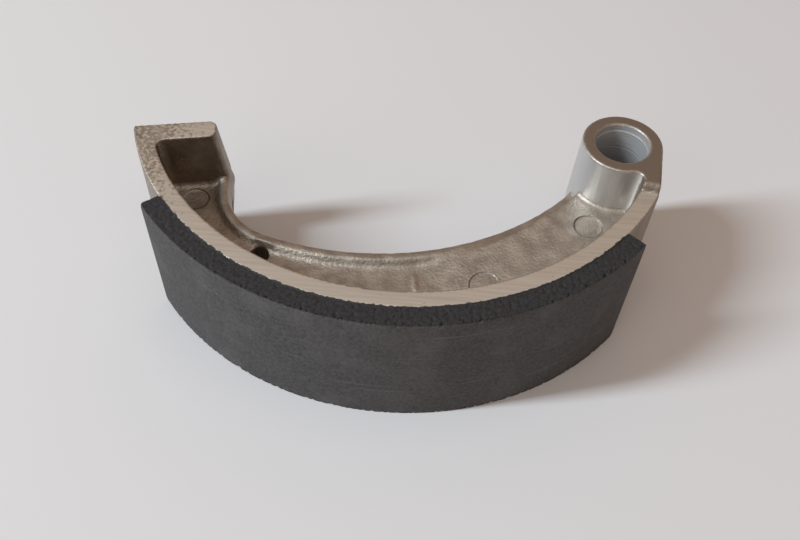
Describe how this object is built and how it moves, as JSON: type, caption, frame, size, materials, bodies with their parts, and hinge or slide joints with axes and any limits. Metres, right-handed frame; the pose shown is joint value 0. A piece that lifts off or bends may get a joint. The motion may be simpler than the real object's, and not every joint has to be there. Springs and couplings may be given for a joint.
{
  "type": "brake shoe",
  "caption": "Curved drum-brake shoe: cast aluminium T-section with a pivot boss at one end, a flat cam face at the other, and a bonded friction lining round the rim.",
  "frame": {"origin": "on the axis of the pivot bore, in the plane of the shoe's lower edge", "axes": "+Z along the pivot bore, parallel to the drum's axis, towards the side where the boss stands proud; +X away from the cam end along the shoe's length; the lining's middle faces -Y"},
  "size_m": [0.1416, 0.0749, 0.042],
  "materials": {
    "cast_aluminium": "as cast, machined bright on its edges",
    "friction_lining": "matte moulded friction material"
  },
  "bodies": {
    "root": {"shoe_casting": "cast_aluminium", "brake_lining": "friction_lining"}
  },
  "joints": []
}
